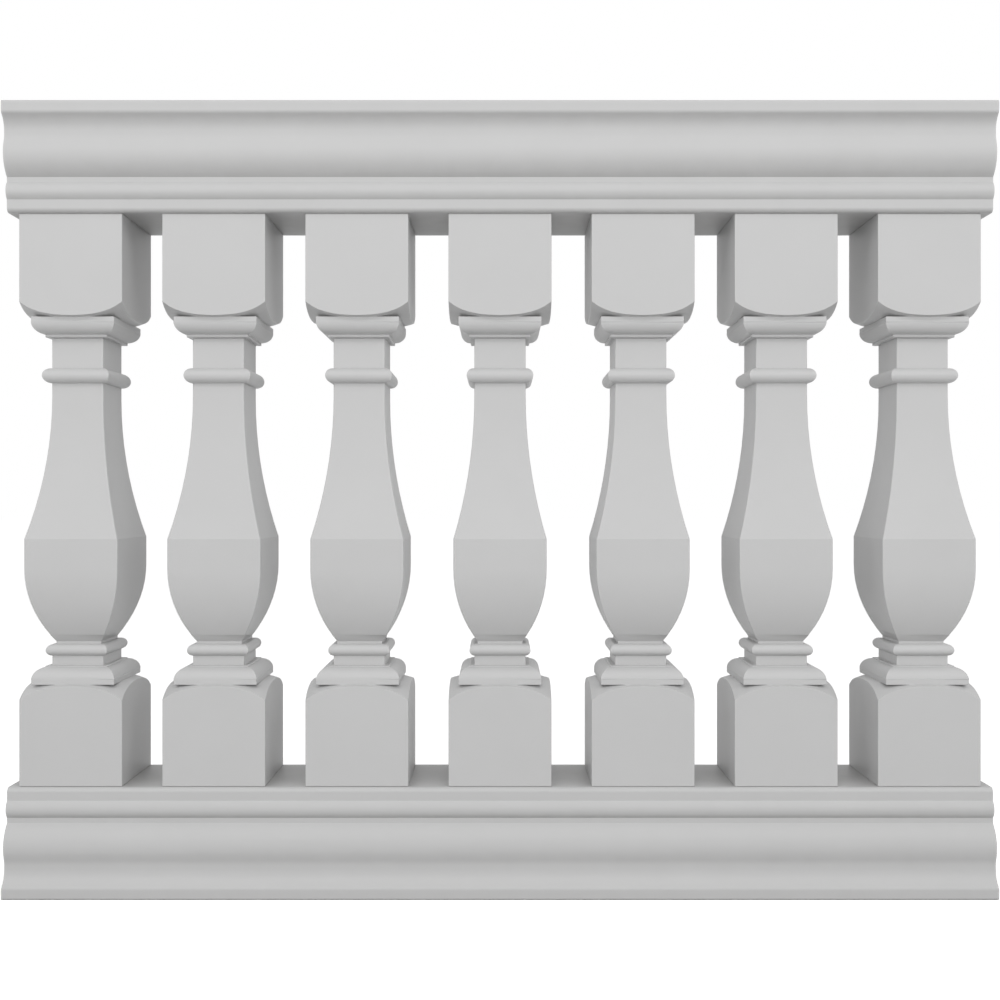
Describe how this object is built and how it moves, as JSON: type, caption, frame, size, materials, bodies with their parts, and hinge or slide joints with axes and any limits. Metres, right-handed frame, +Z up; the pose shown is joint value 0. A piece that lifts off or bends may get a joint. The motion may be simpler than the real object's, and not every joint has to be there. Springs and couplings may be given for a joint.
{
  "type": "fiberglass balustrade bay",
  "caption": "Straight moulded fiberglass balustrade bay: square vase balusters with turned block ends between two hollow moulded rails.",
  "frame": {"origin": "middle of the bottom rail's underside, on the surface it stands on", "axes": "+X along the row, +Y from the front face to the back, +Z up"},
  "size_m": [1.2202, 0.177, 0.9792],
  "materials": {
    "rail_gelcoat": "satin light grey gelcoat",
    "baluster_gelcoat": "satin light grey gelcoat"
  },
  "bodies": {
    "root": {"bottom_rail": "rail_gelcoat", "top_rail": "rail_gelcoat", "baluster_1": "baluster_gelcoat", "baluster_2": "baluster_gelcoat", "baluster_3": "baluster_gelcoat", "baluster_4": "baluster_gelcoat", "baluster_5": "baluster_gelcoat", "baluster_6": "baluster_gelcoat", "baluster_7": "baluster_gelcoat"}
  },
  "joints": []
}
